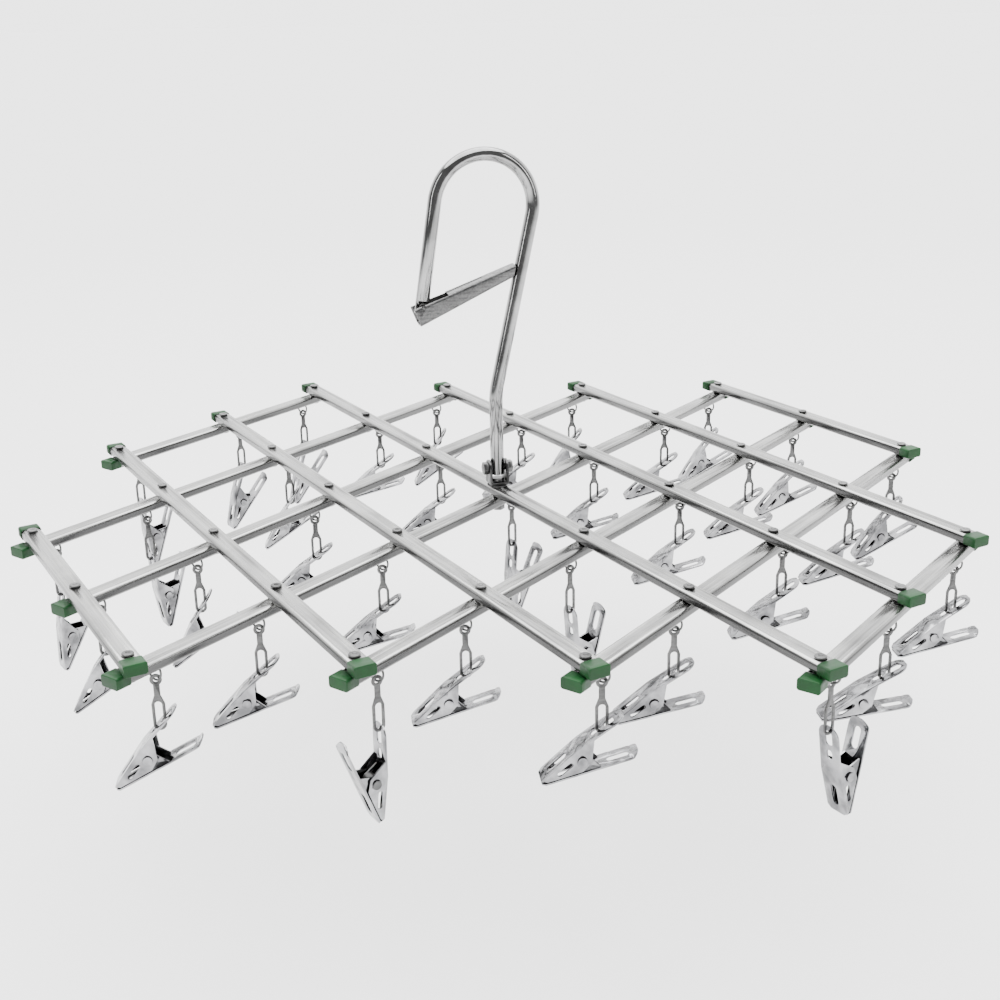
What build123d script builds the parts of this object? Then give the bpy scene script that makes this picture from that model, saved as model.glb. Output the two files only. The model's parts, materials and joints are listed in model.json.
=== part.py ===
"""Folding clip drying hanger: a flat lattice of steel bars, hanging clips and a swivelling top hook."""
import os
from math import cos, sin, tan, radians
from build123d import *

os.makedirs("parts", exist_ok=True)

# Lattice, in millimetres and degrees.
STEP = 95.0                 # distance between neighbouring rivets along a bar
REACH = 3                   # bars each side of the centre bar
CROSS = 66.0                # angle between upper and lower bars as hung
BAR_W = 10.8
BAR_H = 5.6
BAR_WALL = 0.8
BAR_GAP = 0.8               # air between upper and lower bars
OVERHANG = 10.0             # bar past its last rivet
CAP_W = 11.3
CAP_H = 6.0
CAP_COVER = 6.0             # how far a cap sleeves the bar
CAP_END = 2.0

# The hook passes over a pole at the origin; the lattice hangs below it.
ROD_R = 4.0
ARCH_R = 29.2
HOOK_TURN = 20.0            # hook plane, turned from the long axis
STEM_SIDE = 4.6             # stem axis to arch centre
TOP = -193.0                # upper face of the upper bars
LEAN = 13.0                 # lean of the upper stem
LEG_LEAN = 9.2
LEG = 64.0
TILT_Z = TOP + 11.5         # cross bolt height
ARCH_Z = ROD_R - ARCH_R

# Rivets.
SHANK_R = 2.0
FIT = 0.05
HEAD_R = 2.9
HEAD_H = 0.9

# Rings, links and clips.
RING_SIDE = 14.0            # ring beside its rivet
RING_R = 4.2
WIRE_R = 0.55
RING_DROP = 2.0             # ring centre below the lower bar
LINK_REACH = 23.0
LINK_T = 1.0
JAW_T = 0.8
JAW_W = 12.0
CLIP_TURN = 190.0           # compass direction in which the clip tips point
STEEP_TURN = 217.0          # the same for clips that hang steeply
CLIP_DIP = 14.0             # clip tips below level
PIN_X = 23.0
PIN_Z = -14.8
WEB = 10.5                  # handle end bridge to the web between slot and hole
STEEP = 40.0                # dip past which a clip hangs by the end of its handle
PIN_R = 1.5
FRONT = (-2, -1)            # the fully jointed clip hangs at this crossing

# Gate that closes the hook.
GATE_LEN = 56.0
GATE_RISE = 21.5
GATE_WALL = 0.8
GATE_GAP = 0.4

LOWER_TOP = TOP - BAR_H - BAR_GAP
LOWER_BOTTOM = LOWER_TOP - BAR_H
RING_Z = LOWER_BOTTOM - RING_DROP
TURN = radians(HOOK_TURN)
CX = STEM_SIDE * cos(TURN)
CY = STEM_SIDE * sin(TURN)
UP_ANGLE = 90.0 + CROSS / 2
DOWN_ANGLE = 90.0 - CROSS / 2

# How far each clip happens to dip below level; the rest dip by CLIP_DIP.
DIPS = {
    (-3, 0): 27, (-3, 1): 34, (-3, 2): 60, (-2, 0): 20, (-2, 1): 36, (-2, 2): 72, (-2, 3): 70,
    (-1, 3): 50, (-1, 2): 34, (0, -3): 78, (0, -1): 74, (0, 0): 64, (0, 3): 50, (1, 2): 35,
    (2, 1): 30, (3, -1): 24, (3, -2): 28, (3, 0): 30, (1, -3): 6, (2, -3): 12, (-1, -2): 14,
    (-1, -1): 16, (0, -2): 11,
}


def spread(angle):
    """Unit direction in the lattice plane."""
    return Vector(cos(radians(angle)), sin(radians(angle)), 0)


A_DIR = spread(DOWN_ANGLE)
B_DIR = spread(UP_ANGLE)


def crossing(a, b):
    """Plan position of upper bar a crossing lower bar b."""
    return Vector(CX, CY, 0) + A_DIR * (a * STEP) + B_DIR * (b * STEP)


def partners(n):
    """Numbers of the bars that cross bar n."""
    low = max(-REACH, -REACH - n)
    high = min(REACH, REACH - n)
    inside = range(low, high + 1)
    return [m for m in inside if abs(m) + abs(n) < 2 * REACH]


def save(shapes, name):
    """Write one node."""
    group = Compound(children=list(shapes))
    group.label = name
    export_step(group, "parts/" + name + ".step")


def rod(radius, height, place=(0, 0, 0)):
    """Upright cylinder standing on a point."""
    return Pos(*place) * Cylinder(radius, height, align=(Align.CENTER, Align.CENTER, Align.MIN))


def solids(shape):
    """Separate solids of a shape."""
    return list(shape.solids())


def slab(outline, thick, y=0.0):
    """Plate of an outline drawn in the XZ plane, centred on y."""
    return Pos(0, y, 0) * extrude(Plane.XZ * outline, thick / 2, both=True)


# ---------------------------------------------------------------- bars and caps

def bar(length):
    """Hollow bar along X, from 0 to length, centred on the axis."""
    outer = extrude(Plane.YZ * RectangleRounded(BAR_W, BAR_H, 1.9), length)
    inner = extrude(Plane.YZ * RectangleRounded(BAR_W - 2 * BAR_WALL, BAR_H - 2 * BAR_WALL, 1.1), length)
    return outer - inner


def cap():
    """End cap whose outer face is at x = CAP_END and whose sleeve runs back over the bar."""
    size = CAP_COVER + CAP_END
    body = extrude(Plane.YZ.offset(-CAP_COVER) * RectangleRounded(CAP_W, CAP_H, 1.3), size)
    body = fillet(body.edges().group_by(Axis.X)[-1], 0.45)
    pocket = Plane.YZ.offset(-CAP_COVER) * RectangleRounded(BAR_W + 0.1, BAR_H + 0.1, 1.95)
    body = body - extrude(pocket, CAP_COVER)
    plug = extrude(Plane.YZ * RectangleRounded(BAR_W - 2 * BAR_WALL - 0.1, BAR_H - 2 * BAR_WALL - 0.1, 1.0), -4.5)
    return body + plug


def frame_of(n, upper):
    """Start location and length of bar n, its X axis along the bar."""
    ends = partners(n)
    angle = UP_ANGLE if upper else DOWN_ANGLE
    mid = TOP - BAR_H / 2 if upper else LOWER_TOP - BAR_H / 2
    start = crossing(n, ends[0]) if upper else crossing(ends[0], n)
    start = start - spread(angle) * OVERHANG
    length = (ends[-1] - ends[0]) * STEP + 2 * OVERHANG
    return Location((start.X, start.Y, mid), (0, 0, angle)), length


def make_bar(n, upper):
    """One bar with its rivet holes, and ring holes if it is a lower bar."""
    place, length = frame_of(n, upper)
    body = bar(length)
    count = len(partners(n))
    hole = rod(SHANK_R + FIT, BAR_H + 2, (0, 0, -BAR_H / 2 - 1))
    body = body - [Pos(OVERHANG + i * STEP, 0, 0) * hole for i in range(count)]
    if not upper:
        small = rod(1.35, 2.4, (0, 0, -BAR_H / 2 - 0.8))
        for i in range(count):
            x = OVERHANG + i * STEP + RING_SIDE * ring_sign(partners(n)[i], n)
            body = body - [Pos(x, 3.3, 0) * small, Pos(x, -3.3, 0) * small]
    return place * body


def make_caps(n, upper):
    """Both end caps of one bar."""
    place, length = frame_of(n, upper)
    far = place * Pos(length, 0, 0) * cap()
    near = place * Rot(0, 0, 180) * cap()
    return solids(far) + solids(near)


# ---------------------------------------------------------------- rivets, rings, links

def ring_sign(a, b):
    """Which side of its rivet a ring hangs: towards the middle at both ends, outwards between."""
    ends = partners(b)
    if a == ends[0]:
        return 1
    if a == ends[-1] or b == -REACH:
        return -1
    return -1 if a < (ends[0] + ends[-1]) / 2 else 1


def rivet(center=False):
    """Rivet with two heads and a thin collar between the bars; its axis is at the origin."""
    top = 4.7 if center else 1.2
    low = LOWER_BOTTOM - HEAD_H
    shank = rod(SHANK_R, TOP + top - 0.3 - low, (0, 0, low))
    collar = rod(HEAD_R, 0.5, (0, 0, LOWER_TOP))
    body = shank + collar
    if center:
        nut = extrude(Plane.XY.offset(LOWER_BOTTOM - 3.0) * RegularPolygon(4.0, 6), 3.0)
        head = rod(4.0, 1.9, (0, 0, TOP + 3.1))
        body = body + nut + fillet(head.edges().group_by(Axis.Z)[-1], 0.6)
        return body
    bottom = rod(HEAD_R, HEAD_H, (0, 0, low))
    head = rod(HEAD_R, HEAD_H, (0, 0, TOP + 0.3))
    head = fillet(head.edges().group_by(Axis.Z)[-1], 0.5)
    return body + bottom + head - rod(1.1, 0.6, (0, 0, TOP + 0.8))


def washer():
    """Thrust washer between the centre bar and the swivel yoke."""
    return rod(6.4, 0.6, (CX, CY, TOP + 0.35)) - rod(SHANK_R + FIT, 3, (CX, CY, TOP - 1))


def ring_place(a, b):
    """Location of a ring's centre, its axis along the lower bar."""
    spot = crossing(a, b) + A_DIR * (RING_SIDE * ring_sign(a, b))
    return Location((spot.X, spot.Y, RING_Z), (0, 0, DOWN_ANGLE))


def ring():
    """Closed wire ring standing across the bar."""
    return Rot(0, 90, 0) * Torus(RING_R, WIRE_R)


def link():
    """Flat stamped link in the XZ plane: eye at the origin, slot at the bottom."""
    body = Circle(2.9)
    body = body + Pos(0, -6) * Rectangle(3.0, 9)
    body = body + Polygon((-1.5, -8.0), (1.5, -8.0), (3.2, -12.5), (-3.2, -12.5), align=None)
    body = body + Pos(0, -(12.5 + LINK_REACH) / 2) * Rectangle(6.4, LINK_REACH - 12.5)
    body = body + Pos(0, -LINK_REACH) * Circle(3.2)
    body = body - Circle(1.25)
    body = body - Pos(0, -LINK_REACH) * Circle(1.7)
    body = body - Pos(0, -(13.0 + LINK_REACH) / 2) * Rectangle(3.4, LINK_REACH - 13.0)
    body = body - Pos(0, -13.0) * Circle(1.7)
    return slab(body, LINK_T)


# ---------------------------------------------------------------- clip

def band(points, thick):
    """Closed outline of a plate of even thickness that follows the points."""
    left = []
    right = []
    for i, point in enumerate(points):
        here = Vector(point[0], point[1], 0)
        ahead = Vector(*points[min(i + 1, len(points) - 1)], 0)
        behind = Vector(*points[max(i - 1, 0)], 0)
        out = (ahead - here).normalized() if i + 1 < len(points) else (here - behind).normalized()
        back = (here - behind).normalized() if i > 0 else out
        side = Vector(-(out + back).Y, (out + back).X, 0).normalized()
        grow = thick / 2 / max(0.5, side.dot(Vector(-out.Y, out.X, 0)))
        left.append(((here + side * grow).X, (here + side * grow).Y))
        right.append(((here - side * grow).X, (here - side * grow).Y))
    return Polygon(*(left + right[::-1]), align=None)


def plate(points, x_low, x_high):
    """Bent jaw plate with rounded handle end and clipped tip corners."""
    body = slab(band(points, JAW_T), JAW_W)
    size = x_high - x_low
    plan = Pos((x_low + x_high) / 2, 0) * Rectangle(size, JAW_W)
    ends = plan.vertices().group_by(Axis.X)
    plan = fillet(ends[0], 5.4)
    plan = chamfer(plan.vertices().group_by(Axis.X)[-1], 1.8)
    return body & extrude(Plane.XY.offset(-40) * plan, 60)


def slot_cut(x, z, slope, length, width):
    """Cutter for an oblong slot through a plate that slopes down towards the tip."""
    cut = extrude(SlotOverall(length, width), 4, both=True)
    return Pos(x, 0, z) * Rot(0, slope, 0) * cut


def ear(points, y_out):
    """Two side ears with pin holes, their outer faces at plus and minus y_out."""
    one = slab(Polygon(*points, align=None), JAW_T, y_out - JAW_T / 2)
    two = slab(Polygon(*points, align=None), JAW_T, JAW_T / 2 - y_out)
    hole = Pos(PIN_X, 0, PIN_Z) * Rot(90, 0, 0) * Cylinder(PIN_R + FIT, 20)
    return (one - hole) + (two - hole)


HANDLE = 20.5
FORE = 27.7
KINK = (24.0 * cos(radians(HANDLE)), -24.0 * sin(radians(HANDLE)))
NOSE = (KINK[0] + 24.3 * cos(radians(FORE)), KINK[1] - 24.3 * sin(radians(FORE)))


def upper_jaw():
    """Jaw that hangs in the link: its handle end bridge is at the origin, the tip towards +X."""
    tail = (-1.4 * cos(radians(HANDLE)), 1.4 * sin(radians(HANDLE)))
    body = plate([tail, KINK, NOSE], tail[0] - 0.1, NOSE[0])
    for middle, length, width in ((5.3, 8.2, 4.2), (WEB + 3.8, 5.2, 3.4)):
        x = middle * cos(radians(HANDLE))
        body = body - slot_cut(x, -middle * sin(radians(HANDLE)), HANDLE, length, width)
    mid = 13.5
    body = body - slot_cut(KINK[0] + mid * cos(radians(FORE)), KINK[1] - mid * sin(radians(FORE)), FORE, 12, 3.5)
    wall = [(15.0, -5.8), (22.6, -8.5), (42.6, -19.0), (41.2, -20.1), (24.0, -20.0), (18.8, -16.6)]
    window = extrude(SlotOverall(9.0, 2.2), 20, both=True)
    return body + ear(wall, JAW_W / 2) - Pos(31.6, 0, -16.3) * Rot(0, 25, 0) * Rot(90, 0, 0) * window


def lower_jaw():
    """Straight jaw below the upper one."""
    base = NOSE[1] - 1.35
    body = plate([(-3.6, base + 1.8), (-0.6, base), (40.0, base), (NOSE[0], base + 0.1)], -3.7, NOSE[0])
    body = body - slot_cut(6.5, base, 0, 11, 4)
    body = body - slot_cut(33.0, base, 0, 12, 3.5)
    points = [(15.0, base), (31.0, base), (26.0, -12.4), (20.0, -12.4)]
    return body + ear(points, JAW_W / 2 - JAW_T - 0.35)


def clip_pin():
    """Headed pivot pin."""
    body = Cylinder(PIN_R, 13.0)
    body = body + Pos(0, 0, 6.5) * Cylinder(2.3, 0.7) + Pos(0, 0, -6.5) * Cylinder(2.3, 0.7)
    return Pos(PIN_X, 0, PIN_Z) * Rot(90, 0, 0) * body


def clip_spring():
    """Close-wound torsion spring around the pin, with one leg under the upper jaw."""
    coils = Pos(0, 0, 0) * Cylinder(2.75, 6.0)
    for i in range(6):
        coils = coils + Pos(0, 0, -2.5 + i) * Torus(2.55, 0.5)
    coils = coils - Cylinder(1.9, 12)
    coils = Pos(PIN_X, 0, PIN_Z) * Rot(90, 0, 0) * coils
    leg = Pos(PIN_X - 2.55, 2.5, PIN_Z) * Rot(0, -14, 0) * rod(0.45, 7.0)
    return coils + leg


def clip_parts():
    """Solids of one clip, in its own frame."""
    return [upper_jaw(), lower_jaw(), clip_pin(), clip_spring()]


def clip_turn(a, b):
    """Compass direction of a clip's tip and its dip."""
    if (a, b) == FRONT:
        return 37.0, 70.0
    dip = float(DIPS.get((a, b), CLIP_DIP))
    return (STEEP_TURN if dip > STEEP else CLIP_TURN), dip


def eye_place(a, b):
    """Location of a link's eye, its plate in the plane of the clip."""
    spot = ring_place(a, b).position
    turn, _ = clip_turn(a, b)
    return Location((spot.X, spot.Y, RING_Z - RING_R), (0, 0, turn))


def clip_place(a, b):
    """Location of the clip's handle bridge, its X axis towards the tip.

    A level clip hangs by the web behind its slot, a steep one by the bridge at the handle's end.
    """
    turn, dip = clip_turn(a, b)
    spot = eye_place(a, b).position
    place = Location((spot.X, spot.Y, spot.Z - LINK_REACH), (0, 0, turn)) * Rot(0, dip, 0)
    if dip < STEEP:
        back = WEB * cos(radians(HANDLE))
        place = place * Pos(-back, 0, WEB * sin(radians(HANDLE)))
    return place


# ---------------------------------------------------------------- hook

def in_hook(shape):
    """Move a shape from the hook's own plane, XZ with the stem at x = STEM_SIDE, into place."""
    return Rot(0, 0, HOOK_TURN) * shape


def hook_points():
    """Key points of the hook's centre line, from the stem's foot to the tip."""
    lean = radians(LEAN)
    leg = radians(LEG_LEAN)
    right = (ARCH_R * cos(lean), ARCH_Z - ARCH_R * sin(lean))
    run = (right[0] - STEM_SIDE) / sin(lean)
    knee = (STEM_SIDE, right[1] - run * cos(lean))
    left = (-ARCH_R * cos(leg), ARCH_Z + ARCH_R * sin(leg))
    tip = (left[0] - LEG * sin(leg), left[1] - LEG * cos(leg))
    return knee, right, left, tip


def at(point):
    """A point of the hook's plane."""
    return Vector(point[0], 0, point[1])


def hook_rod():
    """Bent rod with a cross bolt hole at the foot and a pin hole at the tip."""
    knee, right, left, tip = hook_points()
    lean = radians(LEAN)
    bend = 50.0
    cut = bend * tan(lean / 2)
    foot = (STEM_SIDE, TILT_Z - 4.0)
    low = (STEM_SIDE, knee[1] - cut)
    high = (knee[0] + cut * sin(lean), knee[1] + cut * cos(lean))
    mid = (STEM_SIDE + bend * (1 - cos(lean / 2)), low[1] + bend * sin(lean / 2))
    path = Edge.make_line(at(foot), at(low))
    path = [path, Edge.make_three_point_arc(at(low), at(mid), at(high))]
    path.append(Edge.make_line(at(high), at(right)))
    path.append(Edge.make_three_point_arc(at(right), at((0, ROD_R)), at(left)))
    path.append(Edge.make_line(at(left), at(tip)))
    body = sweep(Plane.XY.offset(foot[1]) * Pos(STEM_SIDE, 0) * Circle(ROD_R), Wire(path))
    hole = Pos(STEM_SIDE, 0, TILT_Z) * Rot(0, 90, 0) * Cylinder(SHANK_R + FIT, 20)
    pin = gate_pivot()
    body = body - hole - Pos(pin[0], 0, pin[1]) * Rot(90, 0, 0) * Cylinder(1.3, 20)
    return body - tang_cut()


def gate_pivot():
    """Hinge point of the gate, on the rod near its tip."""
    _, _, _, tip = hook_points()
    leg = radians(LEG_LEAN)
    return (tip[0] + 4.0 * sin(leg), tip[1] + 4.0 * cos(leg))


def tang_cut():
    """Cutter that thins one side of the rod's tip to make room for the coil."""
    pin = gate_pivot()
    box = Pos(0, -3.2, -1.0) * Box(12, 4.0, 9.0)
    return Pos(pin[0], 0, pin[1]) * Rot(0, LEG_LEAN, 0) * box


def gate_section(u, middle, width, height, corner, inset):
    """Rounded section of the gate, across its length at u, drawn inset from its outer skin."""
    outline = RectangleRounded(width - 2 * inset, height - 2 * inset, corner - inset * 0.9)
    return Plane(origin=(u, 0, middle), x_dir=(0, 1, 0), z_dir=(1, 0, 0)) * outline


def gate():
    """Rolled sheet gate: a rounded tube, open towards the rod, that tapers towards the stem."""
    ends = ((-5.6, -3.9, 10.8, 11.8, 2.6), (GATE_LEN + 3.0, -4.2, 7.6, 6.8, 2.4))
    shell = loft([gate_section(*end, 0.0) for end in ends])
    wide = ((-6.6, -3.9, 10.8, 11.8, 2.6), (GATE_LEN + 9.0, -4.2, 7.6, 6.8, 2.4))
    body = shell - loft([gate_section(*end, GATE_WALL) for end in wide])
    body = body - Pos(1.5, 0, 7.0) * Box(29.0, 2 * (ROD_R + GATE_GAP), 16.0)
    body = body - Pos(22.0, 0, 4.0) * Box(34.0, 1.4, 10.0)
    body = body - Rot(90, 0, 0) * Cylinder(1.3, 30)
    pin = gate_pivot()
    body = Pos(pin[0], 0, pin[1]) * Rot(0, -GATE_RISE, 0) * body
    return body - stem_notch()


def stem_notch():
    """Room for the stem between the gate's floor end and cheeks, with play to spare."""
    knee, right, _, _ = hook_points()
    mid = ((knee[0] + right[0]) / 2, (knee[1] + right[1]) / 2)
    box = Pos(20.0 - ROD_R - 0.35, 0, 0) * Box(40, 2 * (ROD_R + GATE_GAP) - 0.001, 60)
    return Pos(mid[0], 0, mid[1]) * Rot(0, LEAN, 0) * box


def gate_pin():
    """Rivet through the gate's cheeks and the rod's tip."""
    body = Cylinder(1.25, 2 * (ROD_R + GATE_GAP + GATE_WALL))
    body = chamfer(body.edges().filter_by(GeomType.CIRCLE), 0.2)
    pin = gate_pivot()
    return Pos(pin[0], 0, pin[1]) * Rot(90, 0, 0) * body


def coil(inner, wire, turns):
    """Close-wound coil along Z, as one solid."""
    pitch = wire * 0.94
    body = Cylinder(inner + wire * 0.8, pitch * turns)
    first = -pitch * (turns - 1) / 2
    for i in range(turns):
        body = body + Pos(0, 0, first + i * pitch) * Torus(inner + wire / 2, wire / 2)
    return body - Cylinder(inner, pitch * turns + wire * 2)


def gate_coil():
    """Torsion spring in the space beside the rod's tang."""
    pin = gate_pivot()
    body = coil(1.5, 0.75, 3)
    return Pos(pin[0], -2.75, pin[1]) * Rot(90, 0, 0) * body


def yoke():
    """U-shaped swivel yoke with two ears for the cross bolt."""
    inside = ROD_R + 0.45
    wall = 1.5
    floor = TOP + 1.3
    base = Pos(0, 0, floor + wall / 2) * Box(2 * (inside + wall), 10.0, wall)
    height = TILT_Z - floor
    sides = []
    for sign in (-1, 1):
        flat = Pos(sign * (inside + wall / 2), 0, floor + height / 2) * Box(wall, 10.0, height)
        round_end = Pos(sign * (inside + wall / 2), 0, TILT_Z) * Rot(0, 90, 0) * Cylinder(5.0, wall)
        sides.append(flat + round_end)
    body = base + sides[0] + sides[1]
    edges = [e for e in body.edges() if abs(e.center().Z - floor) < 0.01 and abs(e.tangent_at(0.5).Y) > 0.9]
    body = fillet(edges, 1.2)
    body = body - Pos(0, 0, TILT_Z) * Rot(0, 90, 0) * Cylinder(SHANK_R + 0.1, 40)
    body = body - rod(SHANK_R + 0.1, 8, (0, 0, floor - 2))
    return Pos(STEM_SIDE, 0, 0) * body


def cross_bolt():
    """Hexagon bolt and nut across the yoke."""
    face = ROD_R + 0.45 + 1.5
    shank = Rot(0, 90, 0) * Cylinder(SHANK_R, 2 * face + 5.0)
    head = Plane.YZ.offset(-face - 3.05) * RegularPolygon(4.0, 6)
    bolt = shank + extrude(head, 3.0)
    nut = extrude(Plane.YZ.offset(face + 0.05) * (RegularPolygon(4.0, 6) - Circle(SHANK_R + 0.04)), 3.0)
    return [Pos(STEM_SIDE, 0, TILT_Z) * bolt, Pos(STEM_SIDE, 0, TILT_Z) * nut]


# ---------------------------------------------------------------- write the nodes

def write_bars():
    """Bars, caps and rivets."""
    for i in range(2 * REACH + 1):
        n = i - REACH
        for upper, word in ((True, "upper"), (False, "lower")):
            save([make_bar(n, upper)], word + "_bar_" + str(i + 1))
            save(make_caps(n, upper), word + "_caps_" + str(i + 1))
        pins = []
        for a in partners(n):
            spot = crossing(a, n)
            pins.append(Pos(spot.X, spot.Y, 0) * rivet(center=(a == 0 and n == 0)))
        if n == 0:
            pins.append(washer())
        save(pins, "rivets_" + str(i + 1))


def write_clips():
    """Rings and links of each lower bar in one node, its clips in another."""
    parts = clip_parts()
    one_link = link()
    for i in range(2 * REACH + 1):
        b = i - REACH
        links = []
        clips = []
        for a in partners(b):
            links.append(ring_place(a, b) * ring())
            if (a, b) == FRONT:
                continue
            links.append(eye_place(a, b) * one_link)
            clips += [clip_place(a, b) * part for part in parts]
        save(links, "links_" + str(i + 1))
        save(clips, "clips_" + str(i + 1))
    place = clip_place(*FRONT)
    save([eye_place(*FRONT) * one_link], "front_link")
    names = ("front_upper_jaw", "front_lower_jaw", "front_pin", "front_spring")
    for name, part in zip(names, parts):
        save([place * part], name)


def write_hook():
    """Hook, gate and swivel base."""
    save([in_hook(hook_rod())], "hook_rod")
    save([in_hook(gate())], "hook_gate")
    save([in_hook(gate_pin())], "gate_pin")
    save([in_hook(gate_coil())], "gate_spring")
    save([in_hook(yoke())], "swivel_yoke")
    save([in_hook(part) for part in cross_bolt()], "cross_bolt")


write_bars()
write_clips()
write_hook()
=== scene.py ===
import json
import math

import bmesh
import bpy
from mathutils import Matrix, Vector

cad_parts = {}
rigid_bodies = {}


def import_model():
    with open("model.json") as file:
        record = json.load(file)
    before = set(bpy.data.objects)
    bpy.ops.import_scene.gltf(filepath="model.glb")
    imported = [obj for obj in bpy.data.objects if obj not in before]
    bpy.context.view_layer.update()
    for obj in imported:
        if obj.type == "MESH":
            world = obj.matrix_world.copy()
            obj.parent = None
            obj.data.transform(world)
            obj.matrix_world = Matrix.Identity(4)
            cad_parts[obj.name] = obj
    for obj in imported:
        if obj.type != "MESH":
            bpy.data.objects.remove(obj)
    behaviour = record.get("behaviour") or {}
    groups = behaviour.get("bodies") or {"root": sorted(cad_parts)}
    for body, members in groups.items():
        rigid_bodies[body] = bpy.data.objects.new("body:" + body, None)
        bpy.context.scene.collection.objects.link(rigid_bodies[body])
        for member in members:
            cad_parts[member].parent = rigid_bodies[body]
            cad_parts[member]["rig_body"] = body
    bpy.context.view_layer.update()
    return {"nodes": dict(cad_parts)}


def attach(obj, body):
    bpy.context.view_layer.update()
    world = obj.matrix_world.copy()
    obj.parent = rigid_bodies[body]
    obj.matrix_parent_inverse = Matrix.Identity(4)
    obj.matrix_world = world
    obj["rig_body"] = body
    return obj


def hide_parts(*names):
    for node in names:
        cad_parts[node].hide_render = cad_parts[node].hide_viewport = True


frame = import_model()

# ---------------------------------------------------------------- places and sizes, in metres

CROSS = math.radians(66.0)              # angle between upper and lower bars
UPPER_TURN = math.pi / 2 + CROSS / 2    # directions of the bars in the plan, from +X
LOWER_TURN = math.pi / 2 - CROSS / 2
HOOK_TURN = math.radians(20.0)          # direction in the plan of the plane the hook lies in
STEM_SIDE = 0.0046                      # stem axis to the middle of the hook's arch
CENTRE = Vector((STEM_SIDE * math.cos(HOOK_TURN), STEM_SIDE * math.sin(HOOK_TURN), 0.0))
RIVET_TOP = -0.1922                     # height of the rivet heads

# The camera looks at the middle of the lattice, at the height of the rivet heads.
AZIMUTH = math.radians(3.436)
ELEVATION = math.radians(18.594)
ROLL = math.radians(-1.245)
DISTANCE = 0.8559
LENS_MM = 50.75
SENSOR_MM = 36.0
SHIFT = (0.0023, -0.0163)
CLIP_NEAR, CLIP_FAR = 0.01, 60.0

FLOOR_Z = -0.385                        # well below the clips
FLOOR_HALF = 60.0                       # half the floor's width
FLOOR_TONE = 0.85                       # paleness of the floor near the object
FLOOR_FADE = (0.8, 2.6)                 # distances over which it fades to painted light and shade that match the surroundings
FLOOR_GAIN = 4.4                        # brightness of a white floor under this light

BACK_GLOW = 3.4                         # strength of the white glow behind the object
FRONT_GLOW = 0.3                        # the same towards the front
GLOW_SPAN = (-0.25, 0.55)               # where the glow starts and where it is full, along Y
OVERHEAD_POWER = 9.0                    # the broad light from straight above
OVERHEAD_ANGLE = math.radians(80)
STRIP_AIM = (0, 0, -0.2)                # point both strips face, in the middle of the object
STRIPS = {                              # spot, width, height, power
    "left_strip": ((-1.5, -1.3, 0.7), 0.22, 1.6, 9.0),
    "right_strip": ((1.7, -0.9, 0.5), 0.18, 1.4, 7.0),
}

MERGE = 2e-6                            # points nearer than this are one
FLAT = math.radians(0.6)                # faces that turn less than this are one
EDGE = math.radians(38)                 # edges that turn more than this are rounded
EDGE_STEPS = 2
EDGE_WIDTH = 0.00015
EDGE_WIDTHS = {                         # by a word in the node's name; caps are moulded round already
    "bar": 0.0005, "caps": 0.0, "rivets": 0.0002, "clips": 0.0002, "jaw": 0.0002, "gate": 0.00025,
    "yoke": 0.0004, "bolt": 0.0003, "link": 0.00025,
}

# Noise scales along X, Y and Z: low along the grain and high across it, so the noise is drawn out.
BRUSH_GRAIN = (14.0, 900.0, 900.0)
ROLL_STREAKS = (9.0, 160.0, 60.0)
HAIRLINES = (30.0, 1400.0, 500.0)
HAIRLINE_TURN = 0.7
DRAG_MARKS = (120.0, 900.0, 900.0)
CREVICE = 0.009                         # reach of the painted shade in the inner corners of a clip


def by_name(node, table, default):
    """Value of the first word in a table that is in the node's name."""
    return next((value for word, value in table.items() if word in node), default)


# ---------------------------------------------------------------- camera

def make_camera():
    """Camera a little right of the front and above, rolled slightly."""
    level = math.cos(ELEVATION)
    back = Vector((math.sin(AZIMUTH) * level, -math.cos(AZIMUTH) * level, math.sin(ELEVATION)))
    right = Vector((math.cos(AZIMUTH), math.sin(AZIMUTH), 0.0))
    up = back.cross(right)
    turned_right = right * math.cos(ROLL) + up * math.sin(ROLL)
    turned_up = up * math.cos(ROLL) - right * math.sin(ROLL)
    data = bpy.data.cameras.new("camera")
    data.sensor_width = SENSOR_MM
    data.lens = LENS_MM
    data.shift_x, data.shift_y = SHIFT
    data.clip_start, data.clip_end = CLIP_NEAR, CLIP_FAR
    camera = bpy.data.objects.new("camera", data)
    bpy.context.scene.collection.objects.link(camera)
    spot = CENTRE + Vector((0, 0, RIVET_TOP)) + back * DISTANCE
    rotation = Matrix((turned_right, turned_up, back)).transposed().to_4x4()
    camera.matrix_world = Matrix.Translation(spot) @ rotation
    bpy.context.scene.camera = camera


make_camera()


# ---------------------------------------------------------------- node helpers

def remap(tree, value, low, high, low_to, high_to, soft=False):
    """Remap a value from low..high to low_to..high_to, clamped, with a soft start and end if asked."""
    node = tree.nodes.new("ShaderNodeMapRange")
    if soft:
        node.interpolation_type = "SMOOTHSTEP"
    for name, number in (("From Min", low), ("From Max", high), ("To Min", low_to), ("To Max", high_to)):
        node.inputs[name].default_value = number
    tree.links.new(value, node.inputs["Value"])
    return node.outputs[0]


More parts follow.
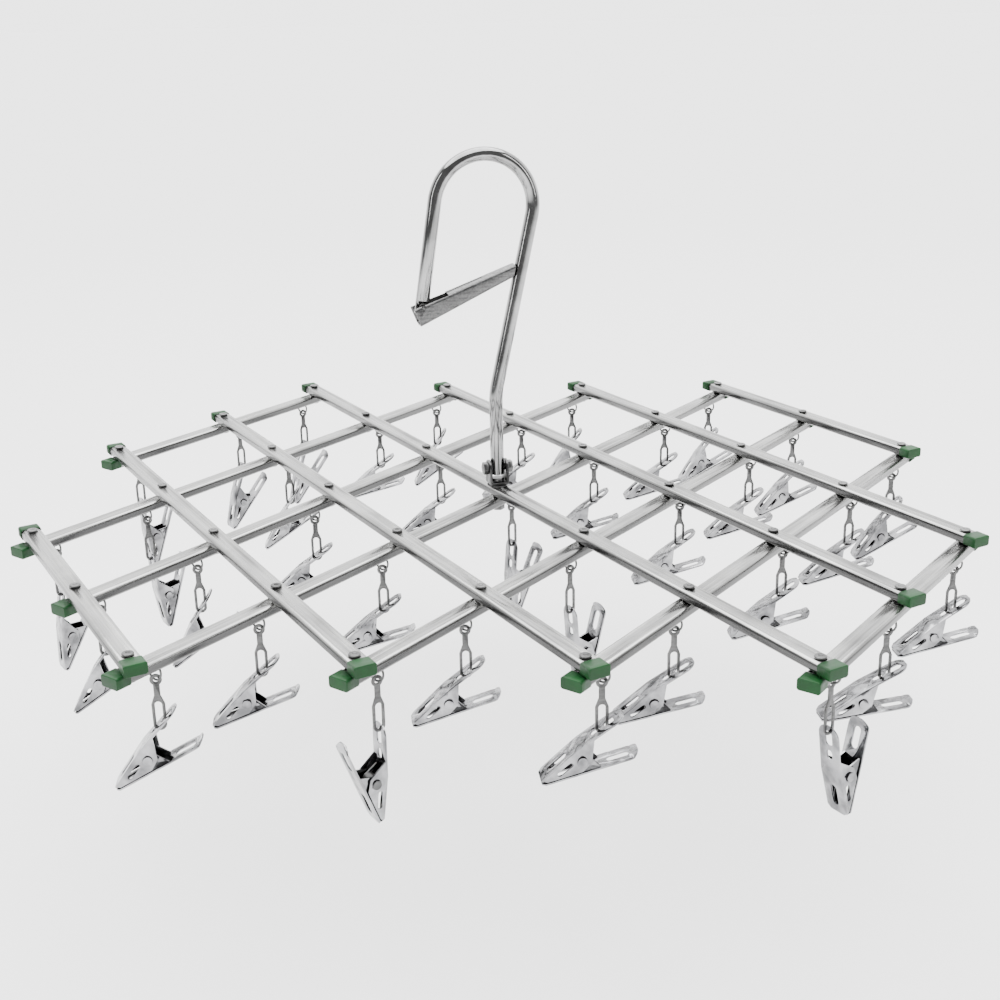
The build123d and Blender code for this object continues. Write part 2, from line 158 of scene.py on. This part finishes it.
class Nodes:
    """Short calls for building one material's nodes."""

    def __init__(self, name):
        self.material = bpy.data.materials.new(name)
        self.material.use_nodes = True
        self.tree = self.material.node_tree
        self.tree.nodes.clear()
        out = self.tree.nodes.new("ShaderNodeOutputMaterial")
        self.shader = self.tree.nodes.new("ShaderNodeBsdfPrincipled")
        self.link(self.shader.outputs[0], out.inputs[0])
        self.coord = self.tree.nodes.new("ShaderNodeTexCoord").outputs["Object"]

    def link(self, a, b):
        self.tree.links.new(a, b)

    def set(self, **values):
        for name, value in values.items():
            self.shader.inputs[name.replace("_", " ")].default_value = value

    def mapped(self, scale=(1.0, 1.0, 1.0), turn=0.0):
        """Object coordinates turned about Z, then scaled."""
        turned = self.tree.nodes.new("ShaderNodeMapping")
        turned.inputs["Rotation"].default_value = (0, 0, -turn)
        self.link(self.coord, turned.inputs["Vector"])
        sized = self.tree.nodes.new("ShaderNodeMapping")
        sized.inputs["Scale"].default_value = scale
        self.link(turned.outputs[0], sized.inputs["Vector"])
        return sized.outputs[0]

    def noise(self, vector, scale, detail=4.0, rough=0.55):
        node = self.tree.nodes.new("ShaderNodeTexNoise")
        node.inputs["Scale"].default_value = scale
        node.inputs["Detail"].default_value = detail
        node.inputs["Roughness"].default_value = rough
        self.link(vector, node.inputs["Vector"])
        return node.outputs["Fac"]

    def ramp(self, value, low, high, low_to, high_to):
        return remap(self.tree, value, low, high, low_to, high_to)

    def mix(self, factor, one, two):
        node = self.tree.nodes.new("ShaderNodeMix")
        node.data_type = "RGBA"
        self.link(factor, node.inputs[0])
        for socket, value in ((node.inputs[6], one), (node.inputs[7], two)):
            if isinstance(value, tuple):
                socket.default_value = (*value, 1.0)
            else:
                self.link(value, socket)
        return node.outputs[2]

    def math(self, kind, a, b=0.0):
        node = self.tree.nodes.new("ShaderNodeMath")
        node.operation = kind
        for socket, value in zip(node.inputs, (a, b)):
            if isinstance(value, float):
                socket.default_value = value
            else:
                self.link(value, socket)
        return node.outputs[0]

    def bump(self, height, strength, distance):
        node = self.tree.nodes.new("ShaderNodeBump")
        node.inputs["Strength"].default_value = strength
        node.inputs["Distance"].default_value = distance
        self.link(height, node.inputs["Height"])
        self.link(node.outputs[0], self.shader.inputs["Normal"])


def brushed(name, turn, light, dark, rough, grain):
    """Brushed steel with its grain along a direction in the plan."""
    n = Nodes(name)
    grain_map = n.mapped(BRUSH_GRAIN, turn)
    fine = n.noise(grain_map, 1.0, 3.0, 0.6)
    cloud = n.noise(n.mapped((16.0, 30.0, 30.0), turn), 1.0, 3.0)
    speck = n.noise(n.mapped(), 420.0, 2.0)
    shade = n.math("ADD", n.math("MULTIPLY", fine, 0.55), n.math("MULTIPLY", cloud, 0.45))
    n.link(n.mix(n.ramp(shade, 0.34, 0.66, 0.0, 1.0), dark, light), n.shader.inputs["Base Color"])
    wear = n.ramp(cloud, 0.35, 0.7, rough - 0.06, rough + 0.08)
    n.link(n.math("ADD", wear, n.math("MULTIPLY", speck, 0.08)), n.shader.inputs["Roughness"])
    n.set(Metallic=1.0)
    n.bump(fine, 0.35 * grain, 0.00006)
    return n.material


def rolled_with_side_shade(name, turn, light, dark, painted_side_shade, rough):
    """Bar steel: tops brushed along their length with long streaks; upright sides get painted shade, a
    darker colour chosen by which way the face points.
    """
    n = Nodes(name)
    fine = n.noise(n.mapped(BRUSH_GRAIN, turn), 1.0, 3.0, 0.6)
    streak = n.noise(n.mapped(ROLL_STREAKS, turn), 1.0, 3.0, 0.6)
    cloud = n.noise(n.mapped((22.0, 30.0, 30.0), turn), 1.0, 4.0)
    shade = n.math("ADD", n.math("MULTIPLY", fine, 0.3), n.math("MULTIPLY", streak, 0.35))
    shade = n.math("ADD", shade, n.math("MULTIPLY", cloud, 0.35))
    top = n.mix(n.ramp(shade, 0.36, 0.62, 0.0, 1.0), dark, light)
    # painted shade: faces that point sideways get the darker side colour, faces that point up or down the
    # brushed colour
    parts = n.tree.nodes.new("ShaderNodeSeparateXYZ")
    n.link(n.tree.nodes.new("ShaderNodeNewGeometry").outputs["Normal"], parts.inputs[0])
    unshaded_share = n.math("ABSOLUTE", parts.outputs["Z"])
    colour = n.mix(n.ramp(unshaded_share, 0.2, 0.75, 0.0, 1.0), painted_side_shade, top)
    n.link(colour, n.shader.inputs["Base Color"])
    n.link(n.ramp(shade, 0.35, 0.65, rough - 0.07, rough + 0.1), n.shader.inputs["Roughness"])
    n.set(Metallic=1.0)
    n.bump(fine, 0.3, 0.00006)
    return n.material


def polished(name, light, dark, rough, smudge=0.06):
    """Polished or tumbled steel with faint smudges and hairlines."""
    n = Nodes(name)
    smear = n.noise(n.mapped(), 55.0, 4.0)
    hair = n.noise(n.mapped(HAIRLINES, HAIRLINE_TURN), 1.0, 2.0)
    n.link(n.mix(n.ramp(smear, 0.35, 0.65, 0.0, 1.0), dark, light), n.shader.inputs["Base Color"])
    value = n.math("ADD", n.ramp(smear, 0.4, 0.75, rough, rough + smudge), n.math("MULTIPLY", hair, 0.05))
    n.link(value, n.shader.inputs["Roughness"])
    n.set(Metallic=1.0)
    n.bump(hair, 0.12, 0.00003)
    return n.material


def stamped(name, light, dark, pitting_and_corner_shade, rough):
    """Stamped and polished sheet: slight dents from the press, and painted shade darkening the inner
    corners.
    """
    n = Nodes(name)
    dent = n.noise(n.mapped(), 105.0, 1.5, 0.4)
    smear = n.noise(n.mapped(), 70.0, 4.0)
    shade = n.mix(n.ramp(smear, 0.38, 0.62, 0.0, 1.0), dark, light)
    corner = n.tree.nodes.new("ShaderNodeAmbientOcclusion")
    corner.samples = 4
    corner.inputs["Distance"].default_value = CREVICE
    # painted shade: where ambient occlusion finds a corner closed in, the colour goes to the near-black
    # shade colour
    openness = n.ramp(corner.outputs["AO"], 0.35, 0.8, 0.0, 1.0)
    n.link(n.mix(openness, pitting_and_corner_shade, shade), n.shader.inputs["Base Color"])
    n.link(n.ramp(smear, 0.35, 0.7, rough, rough + 0.12), n.shader.inputs["Roughness"])
    n.set(Metallic=1.0)
    n.bump(dent, 1.0, 0.0011)
    return n.material


def grainy(name, light, dark, rough):
    """Sheet steel with a coarse satin grain."""
    n = Nodes(name)
    pitting_and_corner_shade = n.noise(n.mapped(), 900.0, 3.0, 0.7)
    drag = n.noise(n.mapped(DRAG_MARKS, HOOK_TURN), 1.0, 3.0, 0.6)
    both = n.math("ADD", n.math("MULTIPLY", pitting_and_corner_shade, 0.5), n.math("MULTIPLY", drag, 0.5))
    n.link(n.mix(n.ramp(both, 0.36, 0.64, 0.0, 1.0), dark, light), n.shader.inputs["Base Color"])
    n.link(n.ramp(both, 0.3, 0.7, rough - 0.07, rough + 0.1), n.shader.inputs["Roughness"])
    n.set(Metallic=1.0)
    n.bump(both, 0.5, 0.00008)
    return n.material


def green_plastic(name):
    """Moulded green plastic with a slight orange peel and paler rubbed spots."""
    n = Nodes(name)
    peel = n.noise(n.mapped(), 700.0, 3.0)
    tone = n.noise(n.mapped(), 90.0, 3.0)
    colour = n.mix(n.ramp(tone, 0.35, 0.68, 0.0, 1.0), (0.0015, 0.028, 0.005), (0.004, 0.050, 0.010))
    n.link(colour, n.shader.inputs["Base Color"])
    n.link(n.ramp(tone, 0.3, 0.7, 0.38, 0.55), n.shader.inputs["Roughness"])
    n.set(Metallic=0.0, IOR=1.49, Specular_IOR_Level=0.22)
    n.bump(peel, 0.25, 0.00006)
    return n.material


# bar colours: light and dark brushed tones, the painted shade of the sides, and roughness
BAR_STEEL_AND_SIDE_SHADE = ((0.44, 0.44, 0.43), (0.13, 0.13, 0.13), (0.08, 0.08, 0.08), 0.22)
LOOKS = {
    "upper_bar": rolled_with_side_shade("upper_bar_steel", UPPER_TURN, *BAR_STEEL_AND_SIDE_SHADE),
    "lower_bar": rolled_with_side_shade("lower_bar_steel", LOWER_TURN, *BAR_STEEL_AND_SIDE_SHADE),
    "caps": green_plastic("cap_plastic"),
    "fastener": polished("fastener_steel", (0.16, 0.16, 0.16), (0.06, 0.06, 0.06), 0.26),
    "link": brushed("link_steel", 0.4, (0.13, 0.13, 0.13), (0.055, 0.055, 0.055), 0.30, 0.6),
    # clips: the third colour is the painted shade of the inner corners
    "clip": stamped("clip_steel", (0.34, 0.34, 0.35), (0.12, 0.12, 0.125), (0.010, 0.010, 0.011), 0.11),
    "hook": polished("hook_steel", (0.34, 0.34, 0.34), (0.19, 0.19, 0.19), 0.07),
    "gate": grainy("gate_steel", (0.21, 0.21, 0.21), (0.075, 0.075, 0.075), 0.36),
    "spring": polished("spring_steel", (0.12, 0.12, 0.12), (0.05, 0.05, 0.05), 0.3),
}
LOOK_WORDS = {                          # by a word in the node's name; all others are fasteners
    "upper_bar": "upper_bar", "lower_bar": "lower_bar", "caps": "caps", "spring": "spring",
    "link": "link", "jaw": "clip", "clips": "clip", "hook_rod": "hook", "hook_gate": "gate",
}


# ---------------------------------------------------------------- the object's pieces

def soften(node):
    """Copy of a CAD node with clean faces and rounded edges, which stands for it."""
    source = frame["nodes"][node]
    mesh = source.data.copy()
    work = bmesh.new()
    work.from_mesh(mesh)
    bmesh.ops.remove_doubles(work, verts=work.verts, dist=MERGE)
    bmesh.ops.dissolve_limit(work, angle_limit=FLAT, verts=work.verts, edges=work.edges)
    work.to_mesh(mesh)
    work.free()
    mesh.materials.clear()
    mesh.materials.append(LOOKS[by_name(node, LOOK_WORDS, "fastener")])
    mesh.shade_smooth()
    piece = bpy.data.objects.new(node + "_look", mesh)
    bpy.context.scene.collection.objects.link(piece)
    width = by_name(node, EDGE_WIDTHS, EDGE_WIDTH)
    if width:
        bevel = piece.modifiers.new("edges", "BEVEL")
        bevel.width = width
        bevel.segments = EDGE_STEPS
        bevel.limit_method = "ANGLE"
        bevel.angle_limit = EDGE
        bevel.harden_normals = True
        bevel.use_clamp_overlap = True
    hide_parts(node)
    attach(piece, source["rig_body"])
    return piece


for name in sorted(frame["nodes"]):
    soften(name)


# ---------------------------------------------------------------- floor and light

def floor_paint():
    """Pale near the object; far out its colour is painted light and shade that fades towards the front,
    as the surroundings do: dark towards the front, bright towards the back.
    """
    n = Nodes("floor_paint")
    flat = n.tree.nodes.new("ShaderNodeVectorMath")
    flat.operation = "MULTIPLY"
    flat.inputs[1].default_value = (1.0, 1.0, 0.0)
    n.link(n.coord, flat.inputs[0])
    reach = n.tree.nodes.new("ShaderNodeVectorMath")
    reach.operation = "LENGTH"
    n.link(flat.outputs[0], reach.inputs[0])
    parts = n.tree.nodes.new("ShaderNodeSeparateXYZ")
    n.link(flat.outputs[0], parts.inputs[0])
    facing = n.math("DIVIDE", parts.outputs["Y"], reach.outputs["Value"])
    tones = (FRONT_GLOW / FLOOR_GAIN, BACK_GLOW / FLOOR_GAIN)
    # painted light and shade: far out the floor is coloured dark towards the front and bright towards the
    # back, as the glow of the surroundings is
    far_painted_light_and_shade = remap(n.tree, facing, *GLOW_SPAN, *tones, soft=True)
    share = remap(n.tree, reach.outputs["Value"], *FLOOR_FADE, 0.0, 1.0, soft=True)
    tone = n.tree.nodes.new("ShaderNodeMix")
    n.link(share, tone.inputs[0])
    tone.inputs[2].default_value = FLOOR_TONE
    n.link(far_painted_light_and_shade, tone.inputs[3])
    n.link(tone.outputs[0], n.shader.inputs["Base Color"])
    n.set(Roughness=0.95, Specular_IOR_Level=0.1)
    return n.material


def make_floor():
    """Pale floor, with painted light and shade far out."""
    mesh = bpy.data.meshes.new("floor")
    corners = [(x * FLOOR_HALF, y * FLOOR_HALF, FLOOR_Z) for x, y in ((-1, -1), (1, -1), (1, 1), (-1, 1))]
    mesh.from_pydata(corners, [], [(0, 1, 2, 3)])
    floor = bpy.data.objects.new("floor", mesh)
    bpy.context.scene.collection.objects.link(floor)
    mesh.materials.append(floor_paint())


def strip(name, spot, width, height, power):
    """Long narrow lamp, turned to face the object."""
    data = bpy.data.lights.new(name, "AREA")
    data.shape = "RECTANGLE"
    data.size, data.size_y = width, height
    data.energy = power
    lamp = bpy.data.objects.new(name, data)
    lamp.location = spot
    lamp.rotation_euler = (Vector(STRIP_AIM) - Vector(spot)).to_track_quat("-Z", "Y").to_euler()
    bpy.context.scene.collection.objects.link(lamp)


def make_world():
    """Surroundings: a broad white glow behind, dim towards the front."""
    world = bpy.data.worlds.new("studio")
    world.use_nodes = True
    tree = world.node_tree
    direction = tree.nodes.new("ShaderNodeTexCoord").outputs["Generated"]
    parts = tree.nodes.new("ShaderNodeSeparateXYZ")
    tree.links.new(direction, parts.inputs[0])
    glow = remap(tree, parts.outputs["Y"], *GLOW_SPAN, FRONT_GLOW, BACK_GLOW, soft=True)
    tree.links.new(glow, tree.nodes["Background"].inputs[1])
    tree.nodes["Background"].inputs[0].default_value = (1.0, 1.0, 1.0, 1.0)
    bpy.context.scene.world = world


def make_light():
    """Broad light from straight above and a bright strip on each side."""
    make_world()
    sun = bpy.data.lights.new("overhead", "SUN")
    sun.energy = OVERHEAD_POWER
    sun.angle = OVERHEAD_ANGLE
    lamp = bpy.data.objects.new("overhead", sun)
    bpy.context.scene.collection.objects.link(lamp)
    for name, (spot, width, height, power) in STRIPS.items():
        strip(name, spot, width, height, power)


make_floor()
make_light()
